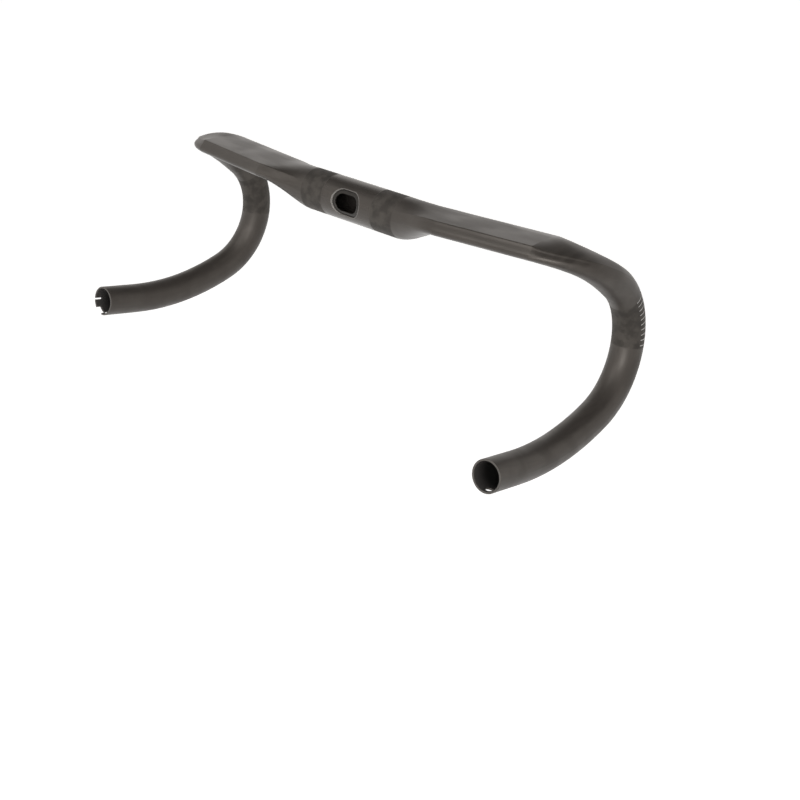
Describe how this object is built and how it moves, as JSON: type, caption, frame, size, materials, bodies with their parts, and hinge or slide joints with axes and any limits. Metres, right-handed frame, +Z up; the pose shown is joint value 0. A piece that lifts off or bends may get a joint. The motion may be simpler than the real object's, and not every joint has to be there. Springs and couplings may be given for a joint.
{
  "type": "road handlebar",
  "caption": "One-piece hollow drop handlebar with a round stem clamp zone, flat wing-shaped tops, a cable port at the rear of the middle and round curved drops.",
  "frame": {"origin": "middle of the stem clamp zone, on the clamp axis", "axes": "+X to the rider's right along the clamp axis, +Y forward, +Z up, with the straight drop ends level"},
  "size_m": [0.442, 0.1633, 0.1579],
  "materials": {
    "carbon": "satin clear-coated unidirectional carbon fibre, dark grey-brown"
  },
  "bodies": {
    "root": {"handlebar": "carbon"}
  },
  "joints": []
}
